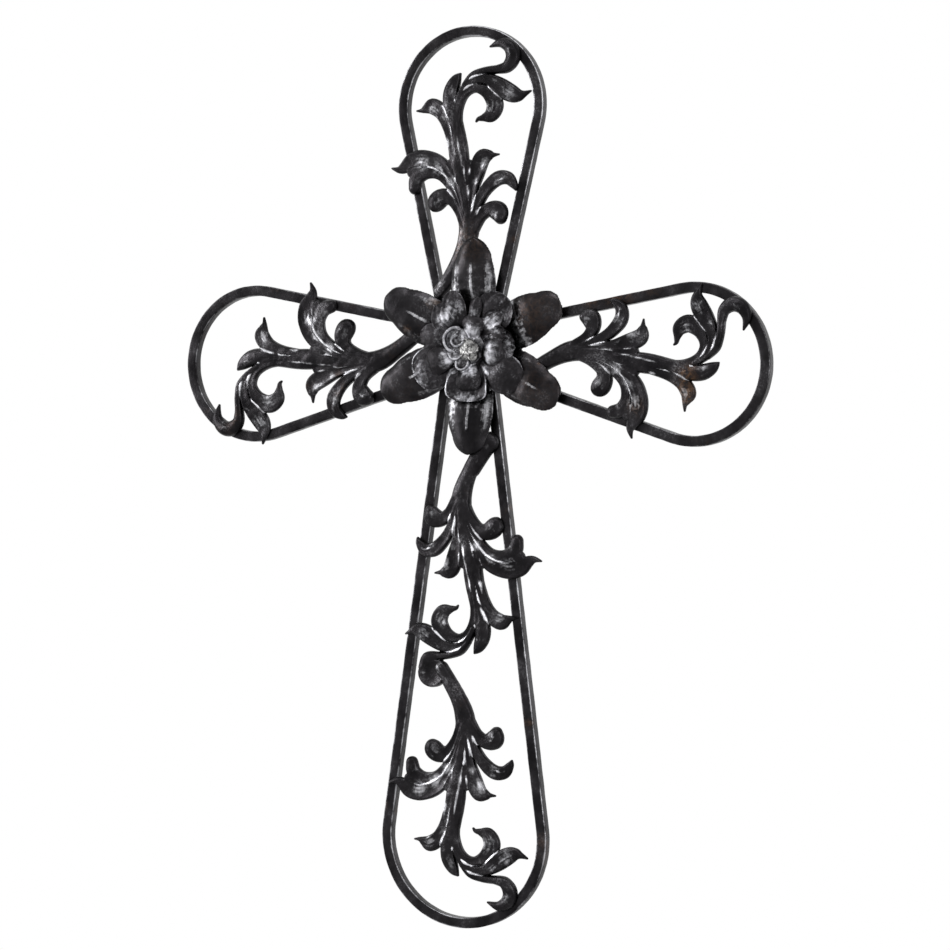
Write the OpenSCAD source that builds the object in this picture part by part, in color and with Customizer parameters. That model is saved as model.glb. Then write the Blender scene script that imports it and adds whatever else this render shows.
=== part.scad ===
// Hanging cross of wrought iron: four looped arms of square bar, five leaf scrolls
// laid on the bars' front faces, and a layered iron flower over the crossing.
// Millimetres, +Z up, front toward -Y, wall side on the plane y = 0.
// The origin is the hanging point: the lowest face of the top loop's crown, at the wall.

/* [Bar] */
// Side of the square bar that the four arms are bent from
bar = 9.5; // [6:0.5:14]

/* [Arms] */
// From the crossing up to the centre of the top loop's bend
top_reach = 215.4; // [170:1:270]
// From the crossing out to the centre of each side loop's bend
side_reach = 215; // [170:1:270]
// From the crossing down to the centre of the long lower loop's bend
foot_reach = 432.5; // [400:1:520]
// Centre-line radius of the bends of the top and side loops
loop_r = 66.4; // [52:0.5:82]
// Centre-line radius of the lower loop's bend
foot_r = 76.1; // [60:0.5:92]
// How far the centres of the side loops lie below the crossing
side_drop = 12.65; // [0:0.5:20]

/* [Crossing] */
// Half the distance between the two upper inner corners
upper_corner_x = 23.2; // [18:0.2:28]
// Half the distance between the two lower inner corners
lower_corner_x = 20.85; // [17:0.2:26]
// Height of the inner corners above and below the crossing
corner_z = 19.65; // [15:0.2:25]

/* [Leaf scrolls] */
// Thickness of a scroll's stem and of the crown of its leaves
leaf_crown = 8; // [5:0.5:11]
// Thickness of a scroll at the rim of its leaves
leaf_rim = 2; // [1:0.25:3]
// Size of the top scroll against its loop
top_scroll_size = 0.985; // [0.95:0.001:1.02]
// Size of the left scroll against its loop
left_scroll_size = 1.002; // [0.95:0.001:1.02]
// Size of the right scroll against its loop
right_scroll_size = 0.963; // [0.94:0.001:1.02]
// Size of the upper stem scroll against the pattern
upper_stem_scroll_size = 0.973; // [0.96:0.001:0.98]
// Size of the lower stem scroll against the pattern
lower_stem_scroll_size = 0.979; // [0.965:0.001:0.985]

/* [Flower] */
// Sheet thickness of the three rings of petals
petal_sheet = 2; // [1:0.25:3]
// Radius to the tips of the outer petals
outer_tip_r = 100; // [85:1:120]
// Radius to the tips of the middle petals
middle_tip_r = 52; // [44:1:60]
// Radius to the tips of the inner petals
inner_tip_r = 33; // [27:1:38]
// Radius of the bud in the middle of the flower
bud_r = 11; // [8:0.5:12]
// Gap left between the outer petals and the stems that pass under them
petal_gap = 0.8; // [0.3:0.1:3]

/* [Hidden] */
$fn = 96;

iron = [0.16, 0.15, 0.15];
leaf_iron = [0.22, 0.21, 0.21];
petal_iron = [0.27, 0.26, 0.27];
bud_iron = [0.5, 0.5, 0.5];

// ---- The bars' layout, in plan [x, z] from the crossing -----------------------------------

crossing_z = -(top_reach + loop_r - bar / 2);
upper_right = [upper_corner_x, corner_z];
upper_left = [-upper_corner_x, corner_z];
lower_right = [lower_corner_x, -corner_z];
lower_left = [-lower_corner_x, -corner_z];
top_centre = [0, top_reach];
right_centre = [side_reach, -side_drop];
left_centre = [-side_reach, -side_drop];
foot_centre = [0, -foot_reach];
mitre_cut = 6 * bar;
side_bite = 0.005;       // how far a loop's straight sides are let into its bend

function bearing(from, to) = atan2(to.y - from.y, to.x - from.x);
function unit(v) = v / norm(v);
function on_circle(c, r, a) = c + r * [cos(a), sin(a)];
// Angle, seen from the bend's centre, at which a straight leg from the corner p touches it
function touch_angle(c, r, p, side) = bearing(c, p) + side * acos(r / norm(p - c));
function leg_direction(c, r, p, side) = unit(on_circle(c, r, touch_angle(c, r, p, side)) - p);

// Directions in which the two legs leave each inner corner, one toward the upright's loop
// and one toward the side's loop
upper_leg_up = leg_direction(top_centre, loop_r, upper_right, 1);
upper_leg_out = leg_direction(right_centre, loop_r, upper_right, -1);
lower_leg_down = leg_direction(foot_centre, foot_r, lower_right, -1);
lower_leg_out = leg_direction(right_centre, loop_r, lower_right, 1);

function mirrored(v) = [-v.x, v.y];

module plan(p) {
    translate([p.x, 0, crossing_z + p.y]) children();
}

// Outline whose straight sides run into the circle of radius r + off at the angles from and to.
// The sides run parallel to the legs' middle lines through the corners a and b, and past them
// by back.
module tear_outline(c, r, a, b, from, to, off, back) {
    at_a = on_circle([0, 0], 1, from);
    at_b = on_circle([0, 0], 1, to);
    touch_r = r + off - side_bite;
    translate(c) circle(r = r + off, $fn = 180);
    polygon([a - back * unit(c + r * at_a - a) + off * at_a, c + touch_r * at_a, c,
             c + touch_r * at_b, b - back * unit(c + r * at_b - b) + off * at_b]);
}

// Everything beyond the mitre at corner p, between this bar and its neighbour
module beyond_mitre(p, own, neighbour) {
    face = unit(own - neighbour);
    translate(p)
        rotate(atan2(face.y, face.x))
            translate([-mitre_cut, -mitre_cut / 2]) square(mitre_cut);
}

// One looped arm: a leg from corner a, the bend anticlockwise round c, and a leg to corner b.
// over_a and over_b are the neighbours' directions at the two mitres.
module loop(c, r, a, b, over_a, over_b) {
    from = touch_angle(c, r, a, 1);
    to = touch_angle(c, r, b, -1);
    color(iron)
        plan([0, 0])
            rotate([90, 0, 0])
                linear_extrude(height = bar)
                    difference() {
                        tear_outline(c, r, a, b, from, to, bar / 2, bar);
                        tear_outline(c, r, a, b, from, to, -bar / 2, 2 * bar);
                        beyond_mitre(a, leg_direction(c, r, a, 1), over_a);
                        beyond_mitre(b, leg_direction(c, r, b, -1), over_b);
                    }
}

module top_loop() {
    loop(top_centre, loop_r, upper_right, upper_left, upper_leg_out, mirrored(upper_leg_out));
}

module left_loop() {
    loop(left_centre, loop_r, upper_left, lower_left, mirrored(upper_leg_up), mirrored(lower_leg_down));
}

module right_loop() {
    loop(right_centre, loop_r, lower_right, upper_right, lower_leg_down, upper_leg_up);
}

module lower_loop() {
    loop(foot_centre, foot_r, lower_left, lower_right, mirrored(lower_leg_out), lower_leg_out);
}

// ---- The leaf scroll --------------------------------------------------------------------
// One pattern serves all five. It grows upward from a loop's left leg. Each leaf is a list of
// [x, z, half width] down its middle, in the pattern's own millimetres from the crossing.

pattern_reach = 281.8;   // from the crossing to the crown of the loop that the pattern was cut for

stem = [[-29.5, 47.5, 6.5], [-20, 59, 7], [-8, 80, 7.6], [-1, 98, 9.4], [0, 116, 10], [-3, 136, 9]];
cut_stem = [[-24, 54, 6.5], [-8, 80, 7.6], [-1, 98, 9.4], [0, 116, 10], [-3, 136, 9]];
left_curl = [[-4, 104, 4], [-9, 119, 5], [-17, 131, 6.5], [-26, 133, 8], [-33, 129, 9], [-35, 124, 4.5]];
big_leaf = [[-3, 116, 5], [-12, 142, 6.4], [-28, 162, 7], [-46, 168.6, 7.9], [-60, 165, 7.2],
            [-69, 159.6, 4.2], [-79, 160.8, 0.8]];
under_leaf = [[-4, 112, 4], [-13, 135, 4.5], [-27, 152, 5], [-42, 155.5, 5.5], [-53, 151, 7], [-55.5, 142, 6]];
upright = [[-3, 120, 7], [-8, 150, 8.5], [-11, 175, 9.5], [-14, 198, 7.5], [-16, 214, 6]];
left_leaf = [[-14, 172, 5], [-20, 195, 5.8], [-27, 209, 6.8], [-37, 215.6, 7.3], [-45.5, 213.4, 3.2],
             [-53.5, 212.4, 0.8]];
bud_leaf = [[-15, 198, 5], [-18.5, 214, 7], [-18.5, 228, 7.5], [-14.5, 238, 5.5], [-9.5, 244.5, 1]];
inner_curl = [[-11, 190, 4.5], [-11.5, 210, 4.5], [-5.5, 225, 4.5], [6, 230.5, 4], [18, 226.5, 6],
              [25.5, 216, 8.2], [22, 206.5, 6.8], [13, 203.6, 3.2], [6.4, 201, 0.9]];
pointed_leaf = [[-9, 222, 4], [-2, 234, 4], [9, 238.5, 4], [21, 237.5, 5.5], [31, 231, 8.2], [42, 224.6, 8],
                [51, 223, 4.4], [60.8, 226.2, 0.8]];
end_band = [[-4, 234, 3], [4, 242.5, 3.5], [16, 246, 3.6], [28, 246.8, 4]];
open_curl = [[28, 246.8, 4], [38, 249, 5.5], [43.5, 257, 7], [41, 266, 6.5], [32, 270.8, 4.5],
             [20.5, 267.8, 0.9]];
closed_curl = [[28, 246.8, 4], [38, 249, 6], [42, 257, 5.5]];
right_pointed = [[2, 112, 4], [4, 138, 5.2], [8, 156, 7.8], [12.5, 167, 7.8], [19.5, 169.8, 4.2],
                 [29, 170.2, 0.8]];
right_arch = [[4, 110, 4], [9, 125, 4.6], [17, 138.5, 5.5], [28, 148, 6.6], [38, 148.5, 6], [44, 142.5, 3.8],
              [46, 137.5, 1]];
right_curl = [[5, 103, 5], [12, 114.5, 5.2], [20.5, 120.6, 6.6], [28.8, 118.6, 9], [31, 113, 6.2]];

knot = [33, 261.5];      // centre of the closed curl's round end, in the pattern
knot_r = 14.2;
knot_sides = 32;
knot_fit = 0.3;          // gap between that round end and the lower scroll's cut stem

// Spline through the rows p, at its row i plus t of the way to the next
function row(p, i) = p[min(max(i, 0), len(p) - 1)];
function spline(p, i, t) =
    let (a = row(p, i - 1), b = row(p, i), c = row(p, i + 1), d = row(p, i + 2))
    b + 0.5 * t * (c - a + t * (2 * a - 5 * b + 4 * c - d + t * (3 * (b - c) + d - a)));
function rows_along(p, steps) = concat(
    [for (i = [0:len(p) - 2], s = [0:steps - 1]) spline(p, i, s / steps)],
    [p[len(p) - 1]]);

// Section of a leaf across its middle line: flat back, thin rims and a crown
full_crown_w = 6.5;      // half width from which a leaf has its whole crown
function crown_height(w) = leaf_rim + (leaf_crown - leaf_rim) * min(1, w / full_crown_w);
function section(at, across, w) = [
    [at.x - w * across.x, 0, at.y - w * across.y],
    [at.x - w * across.x, -leaf_rim, at.y - w * across.y],
    [at.x, -crown_height(w), at.y],
    [at.x + w * across.x, -leaf_rim, at.y + w * across.y],
    [at.x + w * across.x, 0, at.y + w * across.y]];
function across_at(line, i) =
    let (d = unit(row(line, i + 1) - row(line, i - 1)))
    unit([d.y, -d.x]);

// steps is the number of pieces that each row's stretch is cut into: two round the tight curls
module leaf(p, steps = 1) {
    line = rows_along(p, steps);
    flat = [for (r = line) [r.x, r.y]];
    rings = [for (i = [0:len(line) - 1]) section(flat[i], across_at(flat, i), line[i].z)];
    for (i = [0:len(line) - 2])
        hull()
            polyhedron(points = concat(rings[i], rings[i + 1]),
                       faces = [[4, 3, 2, 1, 0], [5, 6, 7, 8, 9], [0, 1, 6, 5], [1, 2, 7, 6],
                                [2, 3, 8, 7], [3, 4, 9, 8], [4, 0, 5, 9]]);
}

module knot_end() {
    translate([knot.x, 0, knot.y])
        rotate([90, 0, 0])
            cylinder(r1 = knot_r, r2 = knot_r - leaf_rim, h = leaf_crown, $fn = knot_sides);
}

// The whole scroll in the pattern's frame, its flat back on y = 0. An open one ends in a leaf
// that curls onto the loop, a closed one in a round knot that carries the next scroll.
module scroll_pattern(closed, cut) {
    leaf(cut ? cut_stem : stem);
    for (p = [big_leaf, under_leaf, upright, left_leaf, bud_leaf, pointed_leaf, end_band,
              right_pointed, right_arch])
        leaf(p);
    for (p = [left_curl, inner_curl, right_curl, closed ? closed_curl : open_curl])
        leaf(p, steps = 2);
    if (closed) knot_end();
}

// Lays the pattern on the bars' front faces: scaled, mirrored for flip = -1, turned
// anticlockwise and moved in plan. growth follows the loop, size is the scroll's own.
module lay(growth, size, flip, turn, shift) {
    plan(growth * shift)
        translate([0, -bar, 0])
            rotate([0, -turn, 0])
                scale(growth * size)
                    mirror([flip < 0 ? 1 : 0, 0, 0]) children();
}

pattern_foot_reach = 508.6;      // from the crossing to the crown of the pattern's lower loop

// How much larger each loop is than the one that the pattern was cut for. A scroll's place
// grows with it, so that it stays on its bars.
top_growth = (top_reach + loop_r) / pattern_reach;
side_growth = (side_reach + loop_r) / pattern_reach;
stem_growth = (foot_reach + foot_r) / pattern_foot_reach;

// Where the pattern's own crossing point goes, and how far each scroll is turned
top_shift = [2.7, 3.1];
left_shift = [12.4, 1.2];
right_shift = [4.3, 0.4];
upper_stem_shift = [-7.6, -30.9];
lower_stem_shift = [0.6, -226.7];
top_turn = 0.6;
left_turn = 96.8;
right_turn = -90.7;
upper_stem_turn = -177.9;
lower_stem_turn = -178.9;

module top_scroll() {
    color(leaf_iron)
        lay(top_growth, top_scroll_size, 1, top_turn, top_shift) scroll_pattern(false, false);
}

module left_scroll() {
    color(leaf_iron)
        lay(side_growth, left_scroll_size, -1, left_turn, left_shift) scroll_pattern(false, false);
}

module right_scroll() {
    color(leaf_iron)
        lay(side_growth, right_scroll_size, -1, right_turn, right_shift) scroll_pattern(false, false);
}

module lay_upper_stem() {
    lay(stem_growth, upper_stem_scroll_size, 1, upper_stem_turn, upper_stem_shift) children();
}

module upper_stem_scroll() {
    color(leaf_iron) lay_upper_stem() scroll_pattern(true, false);
}

module lower_stem_scroll() {
    color(leaf_iron)
        difference() {
            lay(stem_growth, lower_stem_scroll_size, -1, lower_stem_turn, lower_stem_shift)
                scroll_pattern(false, true);
            lay_upper_stem()
                translate([knot.x, leaf_rim, knot.y])
                    rotate([90, 0, 0])
                        cylinder(r = knot_r + knot_fit, h = 2 * leaf_crown, $fn = knot_sides);
        }
}

// ---- The flower -------------------------------------------------------------------------
// Three stamped rings of petals nest in each other on a flat hub that lies on the four inner
// corners. Each ring is one closed sheet in polar form: its edge is a function of the angle,
// and its height above the bars' front faces is a function of the radius.

flower_axis = [6.3, 1.5];    // the flower sits a little right of and above the crossing
outer_count = 6;
middle_count = 6;
inner_count = 5;
bud_curls = 5;
outer_turn = 88;         // angle of each ring's first petal
middle_turn = 36;
inner_turn = 270;
hub_margin = 2;
outer_hub_r = norm(upper_right) + norm(flower_axis) + hub_margin;
middle_hub_r = outer_hub_r - 10;
inner_hub_r = middle_hub_r - 10;
outer_rise = 11;         // how much radius each ring takes to rise from its hub
middle_rise = 16;
inner_rise = 12;
tallest_scroll = leaf_crown * max(top_growth * top_scroll_size, side_growth * left_scroll_size,
                                  side_growth * right_scroll_size,
                                  stem_growth * upper_stem_scroll_size);
outer_lift = tallest_scroll + petal_gap;
middle_lift = outer_lift + petal_sheet + 4;
inner_lift = middle_lift + petal_sheet + 2;
arch_lift = 3.5;         // how much higher the outer petals are at mid length

// Smooth step from 0 to 1
function ease(t) = let (c = min(1, max(0, t))) c * c * (3 - 2 * c);
// Edge radius at the angle a of a ring of n petals, between the notch and the tip
function petal_edge(a, n, turn, notch, tip, sharp) =
    let (u = abs((a - turn) * n / 360 - round((a - turn) * n / 360)) * 2)
    notch + (tip - notch) * pow(1 - pow(u, 1.8), sharp);
function outer_height(r) =
    outer_lift * ease((r - outer_hub_r) / outer_rise)
    + arch_lift * sin(180 * min(1, max(0, (r - outer_hub_r - outer_rise)
                                          / (outer_tip_r - outer_hub_r - outer_rise))));
function middle_height(r) = petal_sheet + (middle_lift - petal_sheet) * ease((r - middle_hub_r) / middle_rise);
function inner_height(r) =
    2 * petal_sheet + (inner_lift - 2 * petal_sheet) * ease((r - inner_hub_r) / inner_rise);

// which: 0 outer, 1 middle, 2 inner
function ring_height(which, r) =
    which == 0 ? outer_height(r) : which == 1 ? middle_height(r) : inner_height(r);

// Closed sheet between the ring's height and the same raised by the sheet's thickness. It has
// around points to each petal's width and out rings of points from the hub to the edge. Points
// run ring by ring, the back surface first.
module petal_ring(which, n, turn, hub, notch, tip, sharp, around, out) {
    count = n * around;
    function edge(k) = petal_edge(turn + k * 360 / count, n, turn, notch, tip, sharp);
    function spot(k, j, side) =
        let (r = hub + (edge(k) - hub) * j / out, a = turn + k * 360 / count)
        [r * cos(a), -(ring_height(which, r) + side * petal_sheet), r * sin(a)];
    surface = count * (out + 1);
    function id(k, j, side) = side * surface + j * count + (k % count);
    points = concat(
        [for (side = [0, 1], j = [0:out], k = [0:count - 1]) spot(k, j, side)],
        [for (side = [0, 1]) [0, -(ring_height(which, 0) + side * petal_sheet), 0]]);
    back_middle = 2 * surface;
    front_middle = back_middle + 1;
    faces = concat(
        [for (k = [0:count - 1]) [back_middle, id(k, 0, 0), id(k + 1, 0, 0)]],
        [for (k = [0:count - 1]) [front_middle, id(k + 1, 0, 1), id(k, 0, 1)]],
        [for (j = [0:out - 1], k = [0:count - 1]) [id(k, j, 0), id(k, j + 1, 0), id(k + 1, j + 1, 0)]],
        [for (j = [0:out - 1], k = [0:count - 1]) [id(k, j, 0), id(k + 1, j + 1, 0), id(k + 1, j, 0)]],
        [for (j = [0:out - 1], k = [0:count - 1]) [id(k, j, 1), id(k + 1, j + 1, 1), id(k, j + 1, 1)]],
        [for (j = [0:out - 1], k = [0:count - 1]) [id(k, j, 1), id(k + 1, j, 1), id(k + 1, j + 1, 1)]],
        [for (k = [0:count - 1]) [id(k, out, 0), id(k, out, 1), id(k + 1, out, 1)]],
        [for (k = [0:count - 1]) [id(k, out, 0), id(k + 1, out, 1), id(k + 1, out, 0)]]);
    color(petal_iron)
        plan(flower_axis)
            translate([0, -bar, 0])
                polyhedron(points = points, faces = faces);
}

outer_notch_r = 45;
middle_notch_r = 34;
inner_notch_r = 22;
spoon = 2.2;             // sharpness of the outer petals' outline, narrow at the tip
cup = 0.7;               // sharpness of the middle and inner petals' outline, broad and round
points_around = 8;
outer_points_out = 5;
cup_points_out = 3;

module outer_petals() {
    petal_ring(0, outer_count, outer_turn, outer_hub_r, outer_notch_r, outer_tip_r, spoon,
               points_around, outer_points_out);
}

module middle_petals() {
    petal_ring(1, middle_count, middle_turn, middle_hub_r, middle_notch_r, middle_tip_r, cup,
               points_around, cup_points_out);
}

module inner_petals() {
    petal_ring(2, inner_count, inner_turn, inner_hub_r, inner_notch_r, inner_tip_r, cup,
               points_around, cup_points_out);
}

// Bud: a dome ringed by small curled leaves on a short round foot, cut flat where it sits on
// the inner petals
module flower_bud() {
    seat = bar + 3 * petal_sheet;
    foot = 6;
    dome_r = bud_r * 0.7;
    curl_r = bud_r * 0.45;
    curl_rise = curl_r * 0.6;
    color(bud_iron)
        plan(flower_axis)
            intersection() {
                union() {
                    rotate([90, 0, 0]) cylinder(r = dome_r, h = seat + foot);
                    translate([0, -seat - foot, 0]) sphere(r = dome_r);
                    for (a = [0:360 / bud_curls:359])
                        rotate([0, a, 0])
                            translate([bud_r - curl_r, -seat - foot - curl_rise, 0])
                                sphere(r = curl_r, $fn = 48);
                }
                translate([-bud_r, -seat - 3 * bud_r, -bud_r]) cube([2 * bud_r, 3 * bud_r, 2 * bud_r]);
            }
}

top_loop();
left_loop();
right_loop();
lower_loop();
top_scroll();
left_scroll();
right_scroll();
upper_stem_scroll();
lower_stem_scroll();
outer_petals();
middle_petals();
inner_petals();
flower_bud();
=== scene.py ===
"""A hanging cross of wrought iron: looped bars, leaf scrolls and a layered flower."""

import math

import bpy
import numpy as np
from mathutils import Matrix, Vector
from mathutils.kdtree import KDTree


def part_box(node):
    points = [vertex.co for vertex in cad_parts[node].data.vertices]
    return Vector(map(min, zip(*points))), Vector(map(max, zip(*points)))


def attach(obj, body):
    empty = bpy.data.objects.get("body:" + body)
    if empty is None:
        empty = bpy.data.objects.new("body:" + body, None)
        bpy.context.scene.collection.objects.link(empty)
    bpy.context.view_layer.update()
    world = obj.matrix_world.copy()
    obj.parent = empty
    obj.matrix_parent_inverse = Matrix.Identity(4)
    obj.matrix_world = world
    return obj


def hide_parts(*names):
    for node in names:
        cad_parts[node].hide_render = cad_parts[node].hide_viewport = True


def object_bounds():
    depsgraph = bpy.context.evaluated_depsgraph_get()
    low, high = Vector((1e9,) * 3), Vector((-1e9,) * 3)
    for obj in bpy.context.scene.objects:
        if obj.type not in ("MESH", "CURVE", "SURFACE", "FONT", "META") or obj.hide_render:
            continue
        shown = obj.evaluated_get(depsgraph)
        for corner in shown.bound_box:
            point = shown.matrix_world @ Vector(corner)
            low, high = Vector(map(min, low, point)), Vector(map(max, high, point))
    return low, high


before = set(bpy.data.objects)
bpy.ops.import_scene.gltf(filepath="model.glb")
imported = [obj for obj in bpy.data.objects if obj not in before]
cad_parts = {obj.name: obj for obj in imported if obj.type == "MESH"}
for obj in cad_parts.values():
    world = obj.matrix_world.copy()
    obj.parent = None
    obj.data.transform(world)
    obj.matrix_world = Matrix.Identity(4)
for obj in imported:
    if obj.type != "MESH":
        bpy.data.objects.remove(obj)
CAD_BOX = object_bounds()

MM = 0.001
BODY = "root"

# ---- The cross's layout, in millimetres: [x, z] from the crossing ----
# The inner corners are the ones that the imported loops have. Everything else is read from the
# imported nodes' boxes.

UPPER_CORNER = (23.2, 19.65)
LOWER_CORNER = (20.85, -19.65)


def mm_box(node):
    """A CAD node's box in millimetres."""
    low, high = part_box(node)
    return np.array(low) / MM, np.array(high) / MM


TOP_LOW, TOP_HIGH = mm_box("top_loop")
SIDE_LOW, SIDE_HIGH = mm_box("right_loop")
FOOT_LOW, FOOT_HIGH = mm_box("lower_loop")
BAR = TOP_HIGH[1] - TOP_LOW[1]
FRONT = TOP_LOW[1]                       # the bars' front plane
LOOP_R = (TOP_HIGH[0] - TOP_LOW[0] - BAR) / 2
FOOT_R = (FOOT_HIGH[0] - FOOT_LOW[0] - BAR) / 2
SIDE_DROP = 12.65
CROSSING = np.array([0.0, (SIDE_LOW[2] + SIDE_HIGH[2]) / 2 + SIDE_DROP])
TOP_CENTRE = (0.0, TOP_HIGH[2] - BAR / 2 - LOOP_R - CROSSING[1])
SIDE_CENTRE = (SIDE_HIGH[0] - BAR / 2 - LOOP_R, -SIDE_DROP)
FOOT_CENTRE = (0.0, FOOT_LOW[2] + BAR / 2 + FOOT_R - CROSSING[1])


# ---- Small tools ----

def unit(v):
    return v / np.linalg.norm(v)


def heading(angle):
    """The unit vector at an angle in radians."""
    return np.array([math.cos(angle), math.sin(angle)])


def ease(t):
    t = np.clip(t, 0.0, 1.0)
    return t * t * (3 - 2 * t)


def bell(t, spread):
    """1 where t is 0, falling off smoothly to both sides."""
    return np.exp(-(t / spread) ** 2)


def window(t, start, rise, end, fall):
    """Eases from 0 at start up to 1, and back to 0 at end."""
    return ease((t - start) / rise) * ease((end - t) / fall)


WAVE_COUNT = 7           # how many sine waves make up a field
STROKE_STRETCH = 7       # how many times longer than wide a brush stroke is


def waves(points, length, seed):
    """Smooth pseudo-random field, mostly -1 to 1, whose bumps are about length apart."""
    rng = np.random.RandomState(seed)
    total = np.zeros(len(points))
    for _ in range(WAVE_COUNT):
        direction = unit(rng.normal(size=points.shape[1]))
        pitch = length * rng.uniform(0.7, 1.5)
        total += np.sin(points @ direction * (2 * math.pi / pitch) + rng.uniform(0, 2 * math.pi))
    return total / math.sqrt(WAVE_COUNT)


def streaks(across, along, seed):
    """Brush strokes about 2 mm wide that run along a leaf, around 1."""
    places = np.stack([across, along / STROKE_STRETCH, np.zeros(len(across))], 1)
    return 1 + 0.32 * waves(places, 2.4, seed) + 0.28 * waves(places, 5.5, seed + 1)


def patches(points, rows):
    """Soft round patches, each [x, z, radius, strength]."""
    total = np.zeros(len(points))
    for x, z, radius, strength in rows:
        away = np.linalg.norm(points - np.array([x, z]), axis=1)
        total = np.maximum(total, strength * bell(away, radius))
    return total


def spline(rows, step):
    """Catmull-Rom curve through the rows, sampled about every step."""
    rows = np.array(rows, float)
    padded = np.vstack([rows[:1], rows, rows[-1:]])
    out = []
    for i in range(len(rows) - 1):
        a, b, c, d = padded[i:i + 4]
        pieces = max(2, int(np.linalg.norm((c - b)[:2]) / step))
        t = (np.arange(pieces) / pieces)[:, None]
        square = 2 * a - 5 * b + 4 * c - d
        cube = 3 * (b - c) + d - a
        out.append(b + 0.5 * t * (c - a + t * (square + t * cube)))
    out.append(rows[-1:])
    return np.vstack(out)


def tube_faces(rings, around):
    """Faces between each ring of vertices and the next."""
    return [(i * around + k, i * around + (k + 1) % around,
             (i + 1) * around + (k + 1) % around, (i + 1) * around + k)
            for i in range(rings - 1) for k in range(around)]


def signed_volume(vertices, faces):
    by_size = {}
    for face in faces:
        by_size.setdefault(len(face), []).append(face)
    total = 0.0
    for size, group in by_size.items():
        points = vertices[np.array(group)]
        for k in range(1, size - 1):
            area = np.cross(points[:, k], points[:, k + 1])
            total += np.einsum("ij,ij->i", points[:, 0], area).sum()
    return total / 6


def facing_out(vertices, faces):
    """The faces of a closed shell, turned so that they look outward."""
    if signed_volume(vertices, faces) < 0:
        return [tuple(face[::-1]) for face in faces]
    return faces


def add(name, data):
    """A new object in the scene."""
    made = bpy.data.objects.new(name, data)
    bpy.context.scene.collection.objects.link(made)
    return made


SHARP_ANGLE = math.radians(55)      # edges that turn more than this stay sharp


def make_piece(node, vertices, faces, material, silver, rust):
    """The mesh piece, in millimetres, that stands for a CAD node. silver and rust say how bright
    and how brown each vertex is."""
    name = node + "_metal"
    mesh = bpy.data.meshes.new(name)
    mesh.from_pydata((vertices * MM).tolist(), [], faces)
    mesh.update()
    mesh.validate()
    for label, values in (("silver", silver), ("rust", rust)):
        attribute = mesh.attributes.new(label, "FLOAT", "POINT")
        attribute.data.foreach_set("value", np.asarray(values, np.float32))
    mesh.shade_smooth()
    mesh.set_sharp_from_angle(angle=SHARP_ANGLE)
    mesh.materials.append(material)
    piece = add(name, mesh)
    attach(piece, BODY)
    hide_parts(node)


# ---- Materials ----

def put(node, **inputs):
    """Sets a node's inputs."""
    for name, value in inputs.items():
        node.inputs[name.replace("_", " ")].default_value = value


class Nodes:
    """Short names for building the node tree of a material or a world."""

    def __init__(self, owner):
        owner.use_nodes = True
        self.tree = owner.node_tree

    def new(self, kind, **values):
        node = self.tree.nodes.new(kind)
        for key, value in values.items():
            setattr(node, key, value)
        return node

    def link(self, a, b):
        self.tree.links.new(a, b)

    def value(self, socket, source):
        if isinstance(source, (int, float)):
            socket.default_value = source
        else:
            self.link(source, socket)

    def math(self, operation, a, b):
        node = self.new("ShaderNodeMath", operation=operation)
        self.value(node.inputs[0], a)
        self.value(node.inputs[1], b)
        return node.outputs[0]

    def times(self, a, b):
        return self.math("MULTIPLY", a, b)

    def noise(self, scale, detail, roughness, distortion=0.0):
        node = self.new("ShaderNodeTexNoise")
        put(node, Scale=scale, Detail=detail, Roughness=roughness, Distortion=distortion)
        self.link(self.place, node.inputs["Vector"])
        return node.outputs["Fac"]

    def band(self, source, low, high):
        """0 below low, 1 above high, smooth between."""
        node = self.new("ShaderNodeMapRange", interpolation_type="SMOOTHSTEP")
        self.value(node.inputs["Value"], source)
        put(node, From_Min=low, From_Max=high)
        return node.outputs["Result"]

    def mix(self, factor, a, b):
        node = self.new("ShaderNodeMix", data_type="RGBA")
        self.value(node.inputs["Factor"], factor)
        for socket, source in ((node.inputs[6], a), (node.inputs[7], b)):
            if isinstance(source, tuple):
                socket.default_value = (*source, 1.0)
            else:
                self.link(source, socket)
        return node.outputs[2]


BLACK = (0.0088, 0.0083, 0.0091)
SOFT_BLACK = (0.0265, 0.0249, 0.0270)
SILVER = (0.62, 0.62, 0.65)
WARM_SILVER = (0.58, 0.577, 0.568)
COOL_SILVER = (0.56, 0.562, 0.60)
RUST = (0.130, 0.071, 0.037)

# How fine each noise is, in cells to the metre
BROWN_NOISE, CLOUD_NOISE, SCRATCH_NOISE, SPECK_NOISE = 23, 38, 260, 620
BUMP_HEIGHT = 0.0008


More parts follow.
